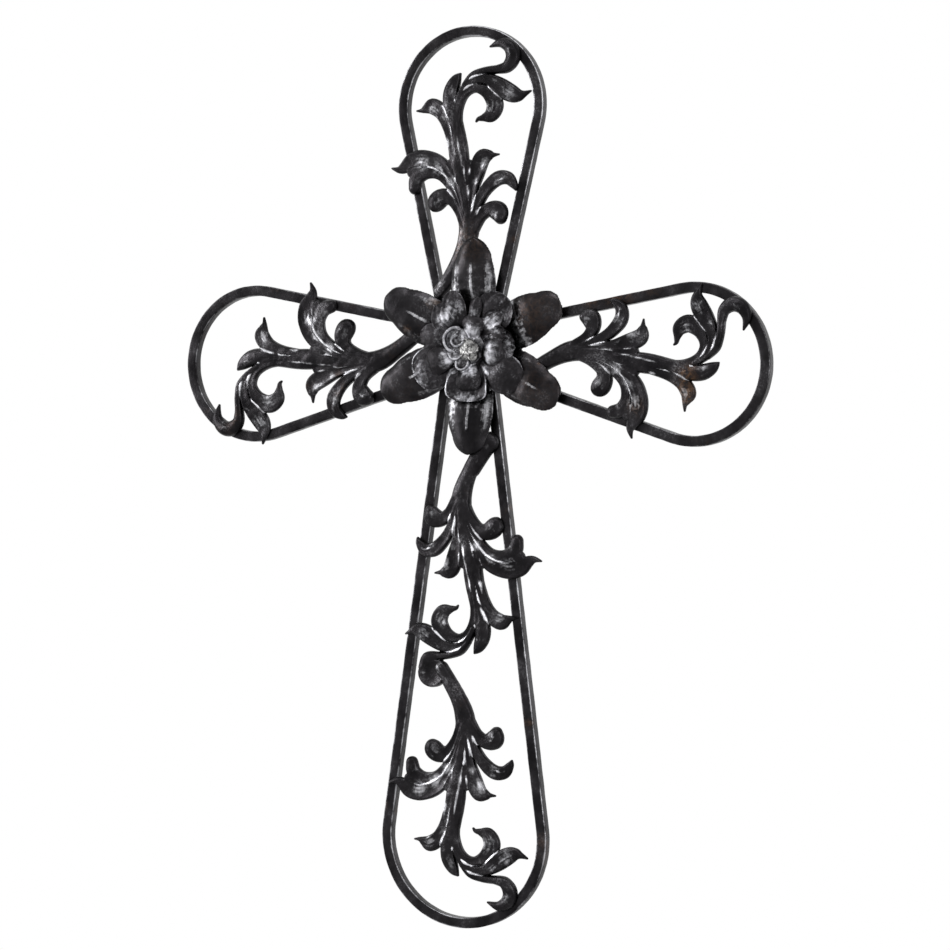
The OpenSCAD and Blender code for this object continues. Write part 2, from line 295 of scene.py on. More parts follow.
def iron(name, rub, mottle, rust, seed, skin=0.5, rubbed=SILVER):
    """Blackened iron. rub is how bright the marked places are, both rubbed ridges and painted
    highlights and sheen, mottle how much silver is dry-brushed between them, rust how much brown
    shows, and skin how rough the surface is."""
    material = bpy.data.materials.new(name)
    n = Nodes(material)
    shader = n.tree.nodes["Principled BSDF"]
    shift = n.new("ShaderNodeMapping")
    put(shift, Location=(seed * 0.37, seed * 0.61, seed * 0.23))
    n.link(n.new("ShaderNodeTexCoord").outputs["Object"], shift.inputs["Vector"])
    n.place = shift.outputs["Vector"]

    marked = n.new("ShaderNodeAttribute", attribute_name="silver").outputs["Fac"]
    cloud = n.noise(CLOUD_NOISE, 4.0, 0.6)
    speck = n.noise(SPECK_NOISE, 4.0, 0.65)
    scratch = n.noise(SCRATCH_NOISE, 5.0, 0.7, 0.6)

    base = n.mix(n.band(cloud, 0.3, 0.72), BLACK, SOFT_BLACK)
    brown = n.times(n.band(n.noise(BROWN_NOISE, 5.0, 0.6), 0.60, 0.74), rust)
    brown = n.times(brown, n.band(scratch, 0.35, 0.6))
    rusted = n.new("ShaderNodeAttribute", attribute_name="rust").outputs["Fac"]
    brown = n.math("MAXIMUM", brown, n.times(rusted, n.band(scratch, 0.38, 0.62)))
    base = n.mix(brown, base, RUST)

    # The marked places, rubbed ridges and painted highlights and sheen, show silver where the fine
    # noise lets it through
    grain = n.math("ADD", n.times(scratch, 0.6), n.times(cloud, 0.4))
    through = n.math("ADD", marked, n.times(n.math("SUBTRACT", grain, 0.5), 1.7))
    ridge = n.times(n.band(through, 0.12, 0.95), rub)
    ridge = n.times(ridge, n.band(marked, 0.02, 0.3))
    # Dry-brushed silver in soft patches
    patch = n.times(n.band(cloud, 0.52, 0.72), n.band(speck, 0.46, 0.62))
    patch = n.times(patch, mottle)
    silver = n.math("MAXIMUM", ridge, patch)
    n.link(n.mix(silver, base, rubbed), shader.inputs["Base Color"])

    put(shader, Metallic=1.0)
    rough = n.math("ADD", n.times(scratch, 0.25), 0.22)
    rough = n.math("ADD", rough, n.times(silver, 0.08))
    n.link(rough, shader.inputs["Roughness"])

    bump = n.new("ShaderNodeBump")
    put(bump, Strength=skin, Distance=BUMP_HEIGHT)
    n.link(n.math("ADD", scratch, n.times(cloud, 1.5)), bump.inputs["Height"])
    n.link(bump.outputs["Normal"], shader.inputs["Normal"])
    return material


bar_material = iron("bar_iron", rub=0.55, mottle=0.06, rust=0.35, seed=1, skin=0.35)
leaf_material = iron("leaf_iron", rub=0.95, mottle=0.14, rust=0.10, seed=2)
petal_material = iron("petal_iron", rub=0.9, mottle=0.08, rust=0.5, seed=3, skin=0.3)
brushed_material = iron("brushed_iron", rub=0.9, mottle=0.45, rust=0.1, seed=5, skin=0.9,
                        rubbed=COOL_SILVER)
bud_material = iron("bud_iron", rub=0.9, mottle=0.6, rust=0.25, seed=4, skin=0.6,
                    rubbed=WARM_SILVER)


# ---- The looped bars ----

EDGE_R = 1.25            # rounding of the square bar's long edges
EDGE_STEPS = 4
EDGE_FALL = 0.75         # how much fainter the worn line is at an edge's two sides
BACK_WEAR = 0.25         # the back edges are hardly worn, against 1 for the front ones
RING_STEP = 2.4
HAMMER = ((0.11, 14, 0), (0.05, 5, 9))      # hollows: depth, how far apart, seed's offset
DEEPEST = 0.3


def bar_section():
    """Closed outline of the rounded square, [across, out], anticlockwise, with its edge marks."""
    half = BAR / 2
    corner = half - EDGE_R
    points, marks = [], []
    for quarter in range(4):
        for k in range(EDGE_STEPS + 1):
            a = math.pi / 2 * (quarter + k / EDGE_STEPS)
            cx = corner if quarter in (0, 3) else -corner
            cy = corner if quarter in (0, 1) else -corner
            points.append((cx + EDGE_R * math.cos(a), cy + EDGE_R * math.sin(a)))
            wear = 1.0 if quarter < 2 else BACK_WEAR
            marks.append(wear * (1.0 - abs(2 * k / EDGE_STEPS - 1) * EDGE_FALL))
        a = math.pi / 2 * (quarter + 1)
        for t in (0.33, 0.67):
            # along the flat that follows this corner
            s = corner * (1 - 2 * t)
            px, py = half * math.cos(a), half * math.sin(a)
            points.append((px + s * math.sin(a), py - s * math.cos(a)))
            marks.append(0.0)
    return np.array(points), np.array(marks)


def touch(c, r, p, side):
    """Angle, seen from the bend's centre, at which a leg from the corner p touches the bend."""
    c, p = np.array(c), np.array(p)
    return math.atan2(*(p - c)[::-1]) + side * math.acos(r / np.linalg.norm(p - c))


def loop_path(c, r, a, b):
    """Middle line from corner a round the bend, anticlockwise, to corner b."""
    start, end = touch(c, r, a, 1), touch(c, r, b, -1)
    while end < start:
        end += 2 * math.pi
    c, a, b = np.array(c), np.array(a), np.array(b)

    def on(t):
        return c + r * heading(t)

    leg = int(np.linalg.norm(on(start) - a) / RING_STEP)
    arc = int(r * (end - start) / RING_STEP)
    far_leg = int(np.linalg.norm(on(end) - b) / RING_STEP)
    return np.array([a + (on(start) - a) * k / leg for k in range(leg)]
                    + [on(start + (end - start) * k / arc) for k in range(arc)]
                    + [on(end) + (b - on(end)) * k / far_leg for k in range(far_leg + 1)])


def loop_piece(node, c, r, a, b, over_a, over_b, seed, worn=1.0, rusty=()):
    """over_a and over_b are the neighbouring legs' directions at the two mitres. worn is how
    bright the edges are, rusty where it is brown: [x, z, radius, strength] from the crossing."""
    path = loop_path(c, r, a, b)
    section, marks = bar_section()
    count, around = len(path), len(section)
    tangent = np.gradient(path, axis=0)
    tangent /= np.linalg.norm(tangent, axis=1)[:, None]
    outward = np.stack([tangent[:, 1], -tangent[:, 0]], 1)
    flat = path[:, None] + section[:, :1] * outward[:, None]
    for end, corner, own, over in ((0, a, tangent[0], over_a), (-1, b, -tangent[-1], over_b)):
        # the end ring lies on the mitre between this bar and its neighbour
        face = unit(own - np.array(over))
        gap = (flat[end] - np.array(corner)) @ face
        flat[end] -= (gap / (own @ face))[:, None] * own
    depth = np.tile(FRONT + BAR / 2 - section[:, 1], (count, 1))
    vertices = np.stack([flat[..., 0] + CROSSING[0], depth, flat[..., 1] + CROSSING[1]], -1)
    vertices = vertices.reshape(-1, 3)

    # hammering: shallow hollows, only inward, none at the mitres
    middle = np.repeat(np.stack([path[:, 0] + CROSSING[0], np.full(count, FRONT + BAR / 2),
                                 path[:, 1] + CROSSING[1]], 1), around, axis=0)
    dent = sum(deep * (1 + waves(vertices, pitch, seed + k)) * 0.5 for deep, pitch, k in HAMMER)
    dent[:around] = 0
    dent[-around:] = 0
    vertices += (middle - vertices) / (BAR / 2) * np.clip(dent, 0, DEEPEST)[:, None]
    faces = tube_faces(count, around)
    faces.append(tuple(range(around))[::-1])
    faces.append(tuple((count - 1) * around + j for j in range(around)))

    # the long edges are worn, more so in places
    strength = 0.62 + 0.25 * waves(middle, 40, seed + 3) + 0.12 * waves(middle, 9, seed + 5)
    silver = np.tile(marks, count) * np.clip(strength, 0.15, 1.0) * worn
    rust = patches(vertices[:, [0, 2]] - CROSSING, rusty)
    make_piece(node, vertices, facing_out(vertices, faces), bar_material, silver, rust)


def mirrored(v):
    return np.array([-v[0], v[1]])


def leg_direction(c, r, p, side):
    return unit(np.array(c) + r * heading(touch(c, r, p, side)) - np.array(p))


UPPER_UP = leg_direction(TOP_CENTRE, LOOP_R, UPPER_CORNER, 1)
UPPER_OUT = leg_direction(SIDE_CENTRE, LOOP_R, UPPER_CORNER, -1)
LOWER_DOWN = leg_direction(FOOT_CENTRE, FOOT_R, LOWER_CORNER, -1)
LOWER_OUT = leg_direction(SIDE_CENTRE, LOOP_R, LOWER_CORNER, 1)
UPPER_LEFT, LOWER_LEFT = mirrored(UPPER_CORNER), mirrored(LOWER_CORNER)

loop_piece("top_loop", TOP_CENTRE, LOOP_R, UPPER_CORNER, UPPER_LEFT,
           UPPER_OUT, mirrored(UPPER_OUT), seed=11)
loop_piece("left_loop", mirrored(SIDE_CENTRE), LOOP_R, UPPER_LEFT, LOWER_LEFT,
           mirrored(UPPER_UP), mirrored(LOWER_DOWN), seed=12, worn=0.55)
loop_piece("right_loop", SIDE_CENTRE, LOOP_R, LOWER_CORNER, UPPER_CORNER,
           LOWER_DOWN, UPPER_UP, seed=13, worn=0.5,
           rusty=[(145, 50, 10, 0.55), (118, 44, 6, 0.35), (176, 56, 7, 0.3)])
loop_piece("lower_loop", FOOT_CENTRE, FOOT_R, LOWER_LEFT, LOWER_CORNER,
           mirrored(LOWER_OUT), LOWER_OUT, seed=14)


# ---- The leaf scrolls ----
# Each lobe: rows of [x, z, half width] down its middle, and its height along the middle and at
# its edges, each as three values at the lobe's start, middle and end. A ridge runs where lobes of
# two groups meet. A lobe is a group of its own unless GROUPS names another.

GROUPS = {"stem": "trunk", "upright": "trunk", "root": "trunk", "left_web": "trunk",
          "right_web": "trunk", "leaf_web": "under_leaf", "end_band": "end", "open_curl": "end",
          "knot": "end"}
LOBES = {
    "stem": ([[-29.5, 47.5, 6.5], [-20, 59, 7], [-8, 80, 7.6], [-1, 98, 9.4], [0, 116, 10],
        [-3, 136, 9]], (7.6, 8.0, 7.6), (4.6, 4.8, 6.8)),
    "upright": ([[-3, 120, 7], [-8, 150, 8.5], [-11, 175, 9.5], [-14, 198, 7.5], [-16, 214, 6]],
        (7.6, 7.4, 6.8), (6.6, 5.0, 5.5)),
    "left_curl": ([[-4, 104, 4], [-9, 119, 5], [-17, 131, 6.5], [-26, 133, 8], [-33, 129, 9],
        [-35, 124, 4.5]], (7.4, 5.4, 7.6), (7.2, 6.6, 3.8)),
    "under_leaf": ([[-4, 112, 4], [-13, 135, 4.5], [-27, 152, 5], [-42, 155.5, 5.5], [-53, 151, 7],
        [-55.5, 142, 6]], (7.4, 4.6, 6.6), (7.2, 7.0, 4.0)),
    "big_leaf": ([[-3, 116, 5], [-12, 142, 6.4], [-28, 162, 7], [-44, 168.5, 7.8], [-57, 167, 7.9],
        [-65.5, 161.5, 5.6], [-71.5, 159.2, 3.2], [-79, 160.8, 0.9]], (7.4, 4.6, 3.6),
        (7.2, 7.4, 2.6)),
    "left_leaf": ([[-14, 172, 5], [-20, 195, 5.8], [-27, 209, 6.8], [-36.5, 215.8, 7.4],
        [-43, 214.4, 4.6], [-48, 212.6, 2.2], [-53.5, 212.4, 0.9]], (6.8, 5.2, 3.6),
        (6.6, 6.8, 2.4)),
    "bud_leaf": ([[-15, 198, 5], [-18.5, 214, 7], [-18.5, 228, 7.5], [-14.5, 238, 5.5],
        [-9.5, 244.5, 1]], (6.8, 7.8, 4.0), (6.4, 4.6, 3.0)),
    "inner_curl": ([[-11, 190, 4.5], [-11.5, 210, 4.5], [-5.5, 225, 4.5], [6, 230.5, 4],
        [18, 226.5, 6], [25.5, 216, 8.2], [22, 206.5, 6.8], [14, 203.8, 3.4], [8.5, 202.8, 1.9],
        [6.4, 200.6, 1.0]], (6.8, 5.4, 3.4), (6.6, 6.4, 2.4)),
    "pointed_leaf": ([[-9, 222, 4], [-2, 234, 4], [9, 238.5, 4], [21, 237.5, 5.5], [31, 231, 8.2],
        [41, 225, 8.2], [48, 222.6, 5.8], [54, 223.6, 3.0], [60.8, 226.2, 0.9]], (6.8, 5.4, 3.6),
        (6.6, 6.6, 2.4)),
    "end_band": ([[-4, 234, 3], [4, 242.5, 3.5], [16, 246, 3.6], [28, 246.8, 4]], (6.8, 6.8, 7.0),
        (6.4, 5.4, 5.0)),
    "open_curl": ([[28, 246.8, 4], [38, 249, 5.5], [43.5, 257, 7], [41, 266, 6.5],
        [32, 270.8, 4.5], [20.5, 267.8, 0.9]], (7.0, 7.4, 3.4), (5.0, 4.6, 2.6)),
    "right_pointed": ([[2, 112, 4], [4, 138, 5.2], [8, 156, 7.8], [12.5, 167, 7.8],
        [18.5, 169.6, 5], [23, 169.8, 2.4], [29, 170.2, 0.9]], (7.4, 4.8, 3.6), (7.2, 7.0, 2.4)),
    "right_arch": ([[4, 110, 4], [9, 125, 4.6], [17, 138.5, 5.5], [28, 148, 6.6], [38, 148.5, 6],
        [44, 142.5, 3.8], [46, 137.5, 1]], (7.4, 5.2, 4.2), (7.2, 6.8, 3.0)),
    "right_curl": ([[5, 103, 5], [12, 114.5, 5.2], [20.5, 120.6, 6.6], [28.8, 118.6, 9.0],
        [31, 113, 6.2]], (7.4, 5.6, 7.6), (7.2, 6.4, 4.0)),
}
WEBS = {
    "left_web": ([[-15, 152, 5], [-18.5, 163.5, 4]], (6.0, 6.0, 5.6), (6.0, 6.0, 5.6)),
    "leaf_web": ([[-50, 157.5, 4], [-58, 156.5, 5.2]], (5.6, 5.6, 5.2), (6.0, 6.0, 5.0)),
    "right_web": ([[-1.5, 146, 5], [-0.5, 162.5, 4]], (6.0, 6.0, 5.6), (6.0, 6.0, 5.6)),
}

# What a kind of scroll has instead of those lobes, or besides them
KINDS = {
    "open": {},
    "closed": {
        "open_curl": ([[28, 246.8, 4], [38, 249, 6], [42, 257, 5.5]],
                      (7.0, 7.2, 7.2), (5.0, 5.0, 5.0)),
        "knot": ([[32.6, 261.5, 14.2], [33.4, 261.5, 14.2]], (5.0, 5.0, 5.0), (7.8, 7.8, 7.8)),
        "root": ([[-30, 51.5, 9.2], [-24, 58, 8.6], [-12, 75, 7.8]],
                 (7.4, 7.8, 7.8), (4.8, 4.8, 4.8)),
    },
    "cut": {
        "stem": ([[-24, 54, 6.5], [-8, 80, 7.6], [-1, 98, 9.4], [0, 116, 10], [-3, 136, 9]],
                 *LOBES["stem"][1:]),
    },
}

# Ridges that don't lie between two lobes: [x, z] down each
FREE_RIDGES = [[[-1, 140], [-4.5, 160], [-9, 181], [-11.5, 195]],
               [[31, 146.5], [37, 148.5], [42, 146]]]

# Where silver is dry-brushed over a leaf, and, on the big leaf from (-47, 164) to (-17, 146), a
# painted sheen where its trough would reflect a lamp: [x, z, radius, strength]
BRUSHED_AND_SHEEN = [(17, 162, 9, 0.36), (9, 146, 6, 0.24), (-37, 213, 7, 0.32), (-24, 204, 5, 0.20),
           (-16, 232, 8, 0.20), (22, 214, 9, 0.28), (40, 226, 9, 0.28), (27, 236, 6, 0.22),
           (-47, 164, 9, 0.38), (-30, 158, 8, 0.40), (-17, 146, 7, 0.36), (29, 146, 7, 0.26),
           (28, 116, 7, 0.22), (-31, 130, 8, 0.24), (40, 262, 8, 0.22), (-4, 100, 8, 0.14),
           (-52, 148, 6, 0.18), (-20, 66, 9, 0.14), (-26, 54, 6, 0.28), (24, 253, 5, 0.26)]

GRID = 0.68              # spacing of the height field that a scroll is made from
SAMPLE_STEP = 0.5
SHOULDER = 1.7           # how far in from its outline a leaf's rounded shoulder reaches
WALL = 0.5               # how much of a leaf's height is its straight side
SOFTNESS = 0.07          # how softly one lobe's surface passes into the next
RIDGE_H, RIDGE_W = 1.0, 0.85
RIDGE_START, RIDGE_FULL = 3.0, 12.0     # how far along its lobe a ridge begins, and is whole
RIDGE_FADE, RIDGE_END = 0.45, 0.95      # the shares of its lobe between which a ridge dies away
RIDGE_FADED = 0.8        # how much of it is gone then
LATE_RIDGES = {"inner_curl": 22.0}      # lobes whose ridges begin farther out
FREE_RIDGE_H = 0.7       # a free ridge's height against RIDGE_H
LINE_W, SHEEN_W = 0.7, 2.8              # half widths of a ridge's rubbed bright line and of its painted sheen
FREE_SHEEN_W = 2.4
OUTSIDE, FAR = -99.0, 9.0               # inside and relative distance where a lobe doesn't reach


class Lobe:
    def __init__(self, name, rows, middle, edge):
        self.name, self.group = name, GROUPS.get(name, name)
        line = spline(rows, SAMPLE_STEP)
        self.at, self.w = line[:, :2], np.maximum(line[:, 2], 0.5)
        steps = np.linalg.norm(np.diff(self.at, axis=0), axis=1)
        self.arc = np.concatenate([[0.0], np.cumsum(steps)])
        along = self.arc / self.arc[-1]
        self.middle = np.interp(along, (0, 0.5, 1), middle)
        self.edge = np.interp(along, (0, 0.5, 1), edge)

    def measure(self, points):
        """Inside distance, relative distance from the middle line, and the nearest sample."""
        reach = self.w.max() + 4
        near = np.all((points > self.at.min(0) - reach) & (points < self.at.max(0) + reach), axis=1)
        inside = np.full(len(points), OUTSIDE)
        relative = np.full(len(points), FAR)
        sample = np.zeros(len(points), int)
        index = np.nonzero(near)[0]
        for part in np.array_split(index, max(1, len(index) // 4000)):
            gap = np.linalg.norm(points[part, None, :] - self.at[None, :, :], axis=2)
            room = self.w[None, :] - gap
            best = room.argmax(axis=1)
            inside[part] = room[np.arange(len(part)), best]
            relative[part] = 1 - inside[part] / self.w[best]
            sample[part] = best
        return inside, relative, sample

    def height(self, relative, sample):
        """The lobe's crowned surface, from its middle line out to its edge."""
        fall = (self.edge - self.middle)[sample]
        return self.middle[sample] + fall * np.clip(relative, 0, 1.1) ** 2

    def ridge_growth(self, sample):
        """How whole a ridge beside this lobe is, from 0 to 1."""
        if self.name == "stem":
            return np.ones(len(sample))
        if self.name == "upright":
            return ease((self.arc[-1] - self.arc[sample]) / RIDGE_FULL)
        begin = LATE_RIDGES.get(self.name, RIDGE_START)
        share = self.arc[sample] / self.arc[-1]
        faded = ease((share - RIDGE_FADE) / (RIDGE_END - RIDGE_FADE))
        return (ease((self.arc[sample] - begin) / (RIDGE_FULL - RIDGE_START))
                * (1 - RIDGE_FADED * faded))

    def strokes(self, points, sample, seed):
        forward = np.gradient(self.at, axis=0)
        forward /= np.linalg.norm(forward, axis=1)[:, None]
        away = points - self.at[sample]
        across = away[:, 0] * forward[sample, 1] - away[:, 1] * forward[sample, 0]
        return streaks(across, self.arc[sample], seed)


def outline_cells(inside, xs, zs):
    """Flat mesh of the region where inside > 0: vertices, faces and the edges of its outline."""
    least = 0.1 * GRID       # keeps the cells at the outline from being slivers
    inside = np.where((inside > 0) & (inside < least), least, inside)
    i, j = np.nonzero(inside > 0)
    count = len(i)
    ids = -np.ones(inside.shape, int)
    ids[i, j] = np.arange(count)
    vertices = [np.stack([xs[i], zs[j]], 1)]
    crossing = []
    for a, b, step_x, step_z in ((inside[:-1], inside[1:], GRID, 0),
                                 (inside[:, :-1], inside[:, 1:], 0, GRID)):
        cut = (a > 0) != (b > 0)
        i, j = np.nonzero(cut)
        t = a[cut] / (a[cut] - b[cut])
        table = -np.ones(cut.shape, int)
        table[cut] = count + np.arange(len(i))
        count += len(i)
        crossing.append(table)
        vertices.append(np.stack([xs[i] + t * step_x, zs[j] + t * step_z], 1))
    corners = np.stack([ids[:-1, :-1], ids[1:, :-1], ids[1:, 1:], ids[:-1, 1:]], -1)
    sides = np.stack([crossing[0][:, :-1], crossing[1][1:],
                      crossing[0][:, 1:], crossing[1][:-1]], -1)
    total = (corners >= 0).sum(-1)
    faces = corners[total == 4].tolist()
    edges = []
    partly = (total > 0) & (total < 4)
    for corner_ids, side_ids in zip(corners[partly].tolist(), sides[partly].tolist()):
        polygon = [(i, on_side) for pair in zip(corner_ids, side_ids)
                   for i, on_side in zip(pair, (False, True)) if i >= 0]
        faces.append([i for i, _ in polygon])
        for (a, a_on_side), (b, b_on_side) in zip(polygon, polygon[1:] + polygon[:1]):
            if a_on_side and b_on_side:
                edges.append((a, b))
    return np.vstack(vertices), faces, edges


def free_ridges(points):
    """The height and the silver of the ridges that don't lie between two lobes, with a painted
    sheen beside each bright line.
    """
    ridge, silver = np.zeros(len(points)), np.zeros(len(points))
    for rows in FREE_RIDGES:
        line = spline(rows, SAMPLE_STEP)
        gap = np.linalg.norm(points[:, None, :] - line[None, :, :], axis=2)
        along = gap.argmin(axis=1) / len(line)
        gap = gap.min(axis=1)
        taper = window(along, 0, 0.25, 1, 0.5)
        own = bell(gap, RIDGE_W) * taper
        ridge = np.maximum(ridge, FREE_RIDGE_H * own)
        # a rubbed bright line on the ridge and a painted sheen beside it
        silver = np.maximum(silver, 0.45 * own + 0.16 * np.exp(-gap / FREE_SHEEN_W) * taper)
    return ridge, silver


class Pattern:
    """A scroll in its own frame: x and z flat, height toward the viewer."""

    def __init__(self, changes):
        self.lobes = [Lobe(name, *row) for name, row in {**LOBES, **changes, **WEBS}.items()]
        margin = 4
        low = np.min([lobe.at.min(0) - lobe.w.max() for lobe in self.lobes], axis=0) - margin
        high = np.max([lobe.at.max(0) + lobe.w.max() for lobe in self.lobes], axis=0) + margin
        xs = np.arange(low[0], high[0], GRID)
        zs = np.arange(low[1], high[1], GRID)
        grid = np.stack(np.meshgrid(xs, zs, indexing="ij"), -1).reshape(-1, 2)
        inside = np.max([lobe.measure(grid)[0] for lobe in self.lobes], axis=0)
        self.flat, self.faces, self.edges = outline_cells(inside.reshape(len(xs), len(zs)), xs, zs)
        self.surface()

    def surface(self):
        """Sets each vertex's height, the silver along its ridges with a painted sheen beside them,
        and the brushed silver with painted sheen on some leaves.
        """
        points = self.flat
        count = len(points)
        measures = [lobe.measure(points) for lobe in self.lobes]
        best_inside = np.full(count, OUTSIDE)
        closest = np.full(count, FAR)
        strokes = np.ones(count)
        for k, (lobe, (inside, rel, sample)) in enumerate(zip(self.lobes, measures)):
            best_inside = np.maximum(best_inside, inside)
            own = lobe.strokes(points, sample, 60 + 3 * k)
            strokes = np.where(rel < closest, own, strokes)
            closest = np.minimum(closest, rel)

        # Height blended between the lobes, and each group's nearest lobe
        groups = sorted({lobe.group for lobe in self.lobes})
        relative = np.full((len(groups), count), FAR)
        width = np.ones((len(groups), count))
        growth = np.zeros((len(groups), count))
        weight_sum, height_sum = np.zeros(count), np.zeros(count)
        for lobe, (_, rel, sample) in zip(self.lobes, measures):
            weight = np.exp(-np.clip(rel - closest, 0, 8) / SOFTNESS) * (rel < 1.6)
            weight_sum += weight
            height_sum += weight * lobe.height(rel, sample)
            g = groups.index(lobe.group)
            nearer = rel < relative[g]
            relative[g] = np.where(nearer, rel, relative[g])
            width[g] = np.where(nearer, lobe.w[sample], width[g])
            growth[g] = np.where(nearer, lobe.ridge_growth(sample), growth[g])
        height = height_sum / np.maximum(weight_sum, 1e-9)

        # Ridges where the two nearest groups meet
        first, second = np.argsort(relative, axis=0)[:2]
        pick = np.arange(count)
        near, next_near = relative[first, pick], relative[second, pick]
        gap = (next_near - near) / (1 / width[first, pick] + 1 / width[second, pick])
        there = ease((1.12 - next_near) / 0.2) * ease((near - 0.22) / 0.25)
        strength = np.minimum(growth[first, pick], growth[second, pick]) * there
        free_ridge, free_silver = free_ridges(points)
        ridge = np.maximum(bell(gap, RIDGE_W) * strength, free_ridge)
        # silver: a rubbed bright line on each ridge, and beside it a broader painted sheen where a
        # lamp would light the leaf's trough
        silver = (0.42 * bell(gap, LINE_W) + 0.42 * np.exp(-gap / SHEEN_W)) * strength
        strokes = np.clip(strokes, 0.25, 1.9)
        rounded = WALL + (1 - WALL) * np.sin(np.clip(best_inside / SHOULDER, 0, 1) * math.pi / 2)
        self.height = (height + RIDGE_H * ridge) * rounded
        self.silver = np.maximum(silver, free_silver) * strokes
        # brushed silver, and painted sheen on the big leaf's trough where a lamp would reflect
        self.brushed = patches(points, BRUSHED_AND_SHEEN) * strokes


PATTERNS = {kind: Pattern(changes) for kind, changes in KINDS.items()}


def scroll_piece(node, kind, flip, turn, seed, rusty=(), rub=1.0, brush_and_sheen=1.0):
    """Lays the pattern where the CAD scroll is: flipped, turned, then fitted to its box. rub and
    brush_and_sheen are how bright its ridges and its brushed patches with their painted sheen are,
    rusty where it is brown."""
    pattern = PATTERNS[kind]
    low, high = mm_box(node)
    t = math.radians(turn)
    x, z = pattern.flat[:, 0] * flip, pattern.flat[:, 1]
    flat = np.stack([x * math.cos(t) - z * math.sin(t), x * math.sin(t) + z * math.cos(t)], 1)
    own_low, own_high = flat.min(0), flat.max(0)
    long_axis = int(np.argmax(own_high - own_low))
    box_low, box_high = low[[0, 2]], high[[0, 2]]
    scale = (box_high - box_low)[long_axis] / (own_high - own_low)[long_axis]
    flat = (flat - (own_low + own_high) / 2) * scale + (box_low + box_high) / 2
    count = len(flat)
    points = np.stack([flat[:, 0], np.zeros(count), flat[:, 1]], 1)

    # cast by hand: the crown swells here and there, and the back isn't quite flat
    swell = 1 + 0.035 * waves(points, 24, seed) + 0.018 * waves(points, 9, seed + 1)
    rise = pattern.height * scale * swell
    back = np.clip(0.10 * (1 + waves(points, 7, seed + 2)), 0, 0.4)
    vertices = np.vstack([np.stack([flat[:, 0], high[1] - depth, flat[:, 1]], 1)
                          for depth in (rise, back)])
    faces = [tuple(face) for face in pattern.faces]
    faces += [tuple(i + count for i in face[::-1]) for face in pattern.faces]
    faces += [(b, a, a + count, b + count) for a, b in pattern.edges]
    if flip < 0:
        faces = [face[::-1] for face in faces]
    # the ridges' silver with its painted sheen, and the brushed patches with their painted sheen,
    # scaled for this scroll
    bright = np.maximum(pattern.silver * rub, pattern.brushed * brush_and_sheen)
    silver = np.concatenate([bright, np.zeros(count)])
    rust = np.tile(patches(pattern.flat, rusty), 2)
    make_piece(node, vertices, facing_out(vertices, faces), leaf_material,
               silver, rust)


scroll_piece("top_scroll", "open", flip=1, turn=0.6, seed=21, rusty=[(-5, 92, 13, 0.22)])
scroll_piece("left_scroll", "open", flip=-1, turn=96.8, seed=22)
scroll_piece("right_scroll", "open", flip=-1, turn=-90.7, seed=23,
             rusty=[(-37, 213, 9, 0.9), (-22, 216, 8, 0.7), (-50, 165, 6, 0.4)])
scroll_piece("upper_stem_scroll", "closed", flip=1, turn=-177.9, seed=24, rub=1.5, brush_and_sheen=0.95)
scroll_piece("lower_stem_scroll", "cut", flip=-1, turn=-178.9, seed=25, rub=1.5, brush_and_sheen=1.2)


# ---- The flower ----
# Petals are closed shells laid out from the flower's axis. Lengths are in millimetres, angles in
# degrees, heights are above the bars' front faces.

BUD_LOW, BUD_HIGH = mm_box("flower_bud")
AXIS = np.array([(BUD_LOW[0] + BUD_HIGH[0]) / 2, (BUD_LOW[2] + BUD_HIGH[2]) / 2])
TOP_H = FRONT - CAD_BOX[0].y / MM        # the highest that anything on the flower may stand
BAR_GAP = 0.02           # how far the petals keep in front of the bars
NARROWEST = 0.35         # a petal's least half width


def shell(base, tip, width, height, thickness, rows=46, columns=29, rim=0.45):
    """A petal from base to tip, both [x, z] from the flower's axis. width(s) and height(s, v) say
    its half width and height at s from 0 at its base to 1 at its tip, and v from -1 to 1 across.
    Returns its vertices, faces, [s, v] of each vertex, and how many of them are on its front."""
    base, tip = np.array(base, float), np.array(tip, float)
    length = np.linalg.norm(tip - base)
    along = (tip - base) / length
    side = np.array([-along[1], along[0]])
    s = np.sin(np.linspace(0, math.pi / 2, rows))
    v = np.sin(np.linspace(-math.pi / 2, math.pi / 2, columns))
    s_grid, v_grid = np.meshgrid(s, v, indexing="ij")
    half = np.maximum(width(s_grid), NARROWEST)
    flat = AXIS + base + (length * s_grid)[..., None] * along + (v_grid * half)[..., None] * side
    front = height(s_grid, v_grid)
    edge = np.maximum(np.abs(v_grid), np.clip((s_grid - 0.93) / 0.07, 0, 1))
    thick = thickness * (rim + (1 - rim) * np.sqrt(np.clip(1 - edge ** 6, 0, 1)))
    front_points = np.stack([flat[..., 0], FRONT - front, flat[..., 1]], -1).reshape(-1, 3)
    back_points = np.stack([flat[..., 0], FRONT - front + thick, flat[..., 1]], -1).reshape(-1, 3)
    count = rows * columns
    grid = np.arange(count).reshape(rows, columns)
    front_faces = np.stack([grid[:-1, :-1], grid[1:, :-1], grid[1:, 1:], grid[:-1, 1:]],
                           -1).reshape(-1, 4)
    border = np.concatenate([grid[:, 0], grid[-1, 1:], grid[-2::-1, -1], grid[0, -2:0:-1]])
    ahead = np.roll(border, -1)
    rim_faces = np.stack([ahead, border, border + count, ahead + count], 1)
    faces = np.vstack([front_faces, front_faces[:, ::-1] + count, rim_faces]).tolist()
    marks = np.stack([s_grid.ravel(), v_grid.ravel()], 1)
    return np.vstack([front_points, back_points]), faces, np.vstack([marks, marks]), count


def join(shells):
    """Shells (vertices, faces, silver) as one list."""
    vertices, faces, silver, base = [], [], [], 0
    for points, own, marks in shells:
        vertices.append(points)
        faces += [tuple(i + base for i in face) for face in facing_out(points, own)]
        silver.append(marks)
        base += len(points)
    return np.vstack(vertices), faces, np.concatenate(silver)
